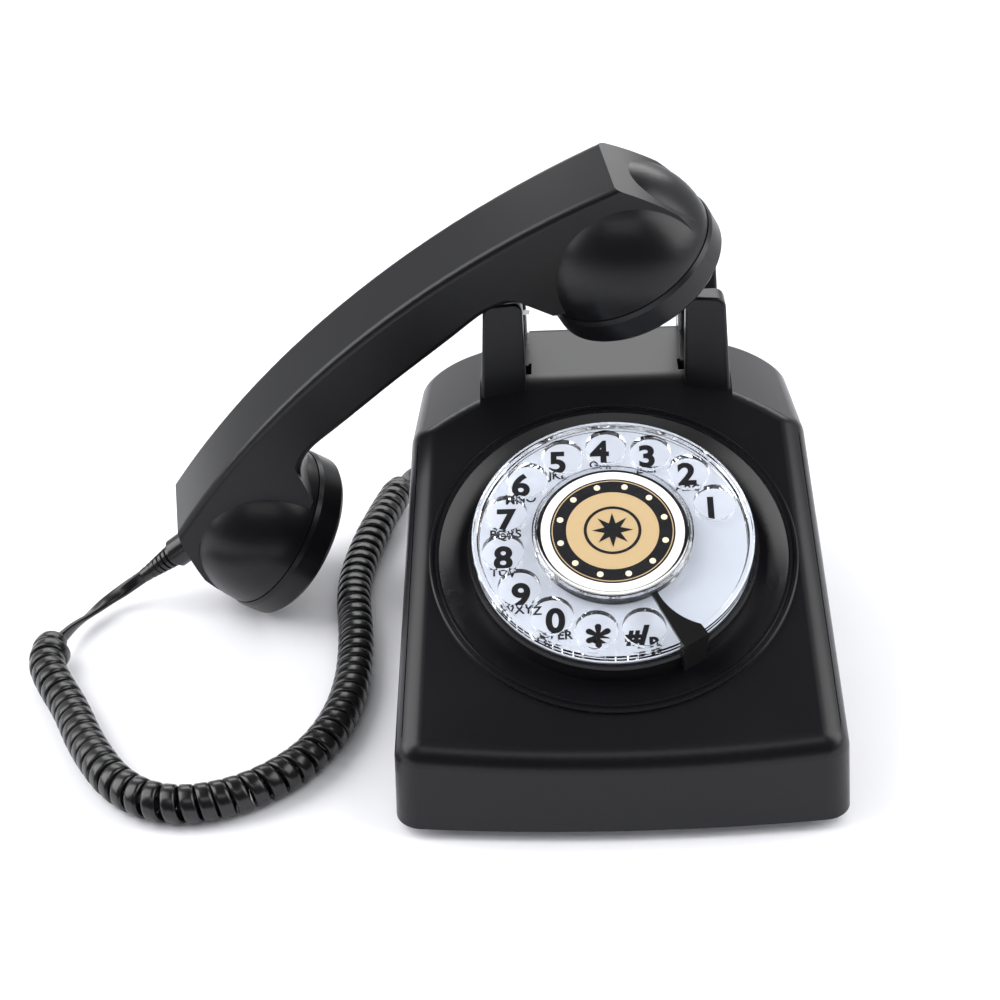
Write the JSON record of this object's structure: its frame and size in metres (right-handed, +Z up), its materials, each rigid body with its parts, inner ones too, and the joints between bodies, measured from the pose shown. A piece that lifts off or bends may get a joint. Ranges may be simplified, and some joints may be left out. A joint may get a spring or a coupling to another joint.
{
  "type": "rotary dial telephone",
  "caption": "Black rotary dial desk telephone with a clear finger wheel, a handset leaning off its cradle and a coiled cord.",
  "frame": {"origin": "on the table, below the middle of the housing's footprint", "axes": "+Z up, the dial faces -Y, +X to the right of a person at the dial"},
  "size_m": [0.2777, 0.2417, 0.1723],
  "materials": {
    "shell": "black, satin gloss, moulded",
    "dial_black": "black, smooth",
    "plate": "pale bluish white, printed numbers",
    "clear": "clear acrylic",
    "card": "printed card",
    "rubber_black": "matt, moulded",
    "steel": "zinc plated sheet",
    "brass_part": "turned, dull",
    "bell": "turned bell metal",
    "board": "printed board",
    "coil_wrap": "varnished winding",
    "cord_black": "smooth vinyl",
    "plug_clear": "smoky clear moulding",
    "nylon": "white nylon"
  },
  "bodies": {
    "base": {"housing": "shell", "ear_front_left": "shell", "ear_front_right": "shell", "ear_rear_left": "shell", "ear_rear_right": "shell", "base_plate": "steel", "foot_front_left": "rubber_black", "foot_front_right": "rubber_black", "foot_rear_left": "rubber_black", "foot_rear_right": "rubber_black", "dial_dish": "dial_black", "dial_pedestal": "dial_black", "number_plate": "plate", "finger_stop": "dial_black", "dial_frame": "steel", "hook_spring": "steel", "hook_tower": "steel", "hook_switch": "nylon", "ballast": "steel", "circuit_board": "board", "ringer_frame": "steel", "ringer_coil": "coil_wrap", "clapper_post": "steel", "gong_left": "bell", "gong_right": "bell", "handset_jack": "nylon", "line_jack": "nylon", "cord_lead": "cord_black", "cord_coil": "cord_black", "cord_tail": "cord_black", "cord_plug": "plug_clear"},
    "dial": {"finger_wheel": "clear", "dial_hub": "dial_black", "wheel_spacer": "dial_black", "dial_card": "card", "dial_cover": "clear", "dial_shaft": "steel", "main_gear": "brass_part"},
    "governor": {"governor_pinion": "brass_part", "governor_drum": "brass_part"},
    "hook": {"plunger_left": "clear", "plunger_right": "clear", "plunger_bar": "nylon"},
    "lever": {"switch_lever": "nylon"},
    "clapper": {"clapper": "steel"},
    "handset": {"handset_shell": "shell", "receiver_cap": "shell", "transmitter_cap": "shell", "receiver_unit": "nylon", "microphone_unit": "nylon", "strain_relief": "rubber_black"}
  },
  "joints": [
    {"name": "dial_turn", "type": "hinge", "parent": "base", "child": "dial", "pos_m": [0, -0.0269, 0.0619], "axis": [0, 0.4226, -0.9063], "range_deg": [0, 333], "stiffness_Nm_per_rad": 0.008, "springref_deg": -68.75},
    {"name": "governor_spin", "type": "hinge", "parent": "base", "child": "governor", "pos_m": [0.0312, -0.02119, 0.04967], "axis": [0, 0.4226, -0.9063], "range_deg": [-1112, 0]},
    {"name": "hook_press", "type": "slide", "parent": "base", "child": "hook", "axis": [0, 0, -1], "range_m": [0, 0.005], "stiffness_N_per_m": 180, "springref_m": -0.005, "deforming": ["hook_spring"]},
    {"name": "lever_tip", "type": "hinge", "parent": "base", "child": "lever", "pos_m": [0.022, 0.066, 0.0729], "axis": [1, 0, 0], "range_deg": [0, 18.6]},
    {"name": "clapper_swing", "type": "hinge", "parent": "base", "child": "clapper", "pos_m": [0, 0.082, 0.025], "axis": [0, 0, 1], "range_deg": [-15, 15], "stiffness_Nm_per_rad": 0.002},
    {"name": "handset_lift", "type": "slide", "parent": "base", "child": "handset", "axis": [0, 0, 1], "range_m": [0, 0.15]}
  ],
  "couplings": [
    {"joint": "governor_spin", "follows": "dial_turn", "ratio": -3.3333},
    {"joint": "lever_tip", "follows": "hook_press", "rad_per_m": 64.5}
  ]
}
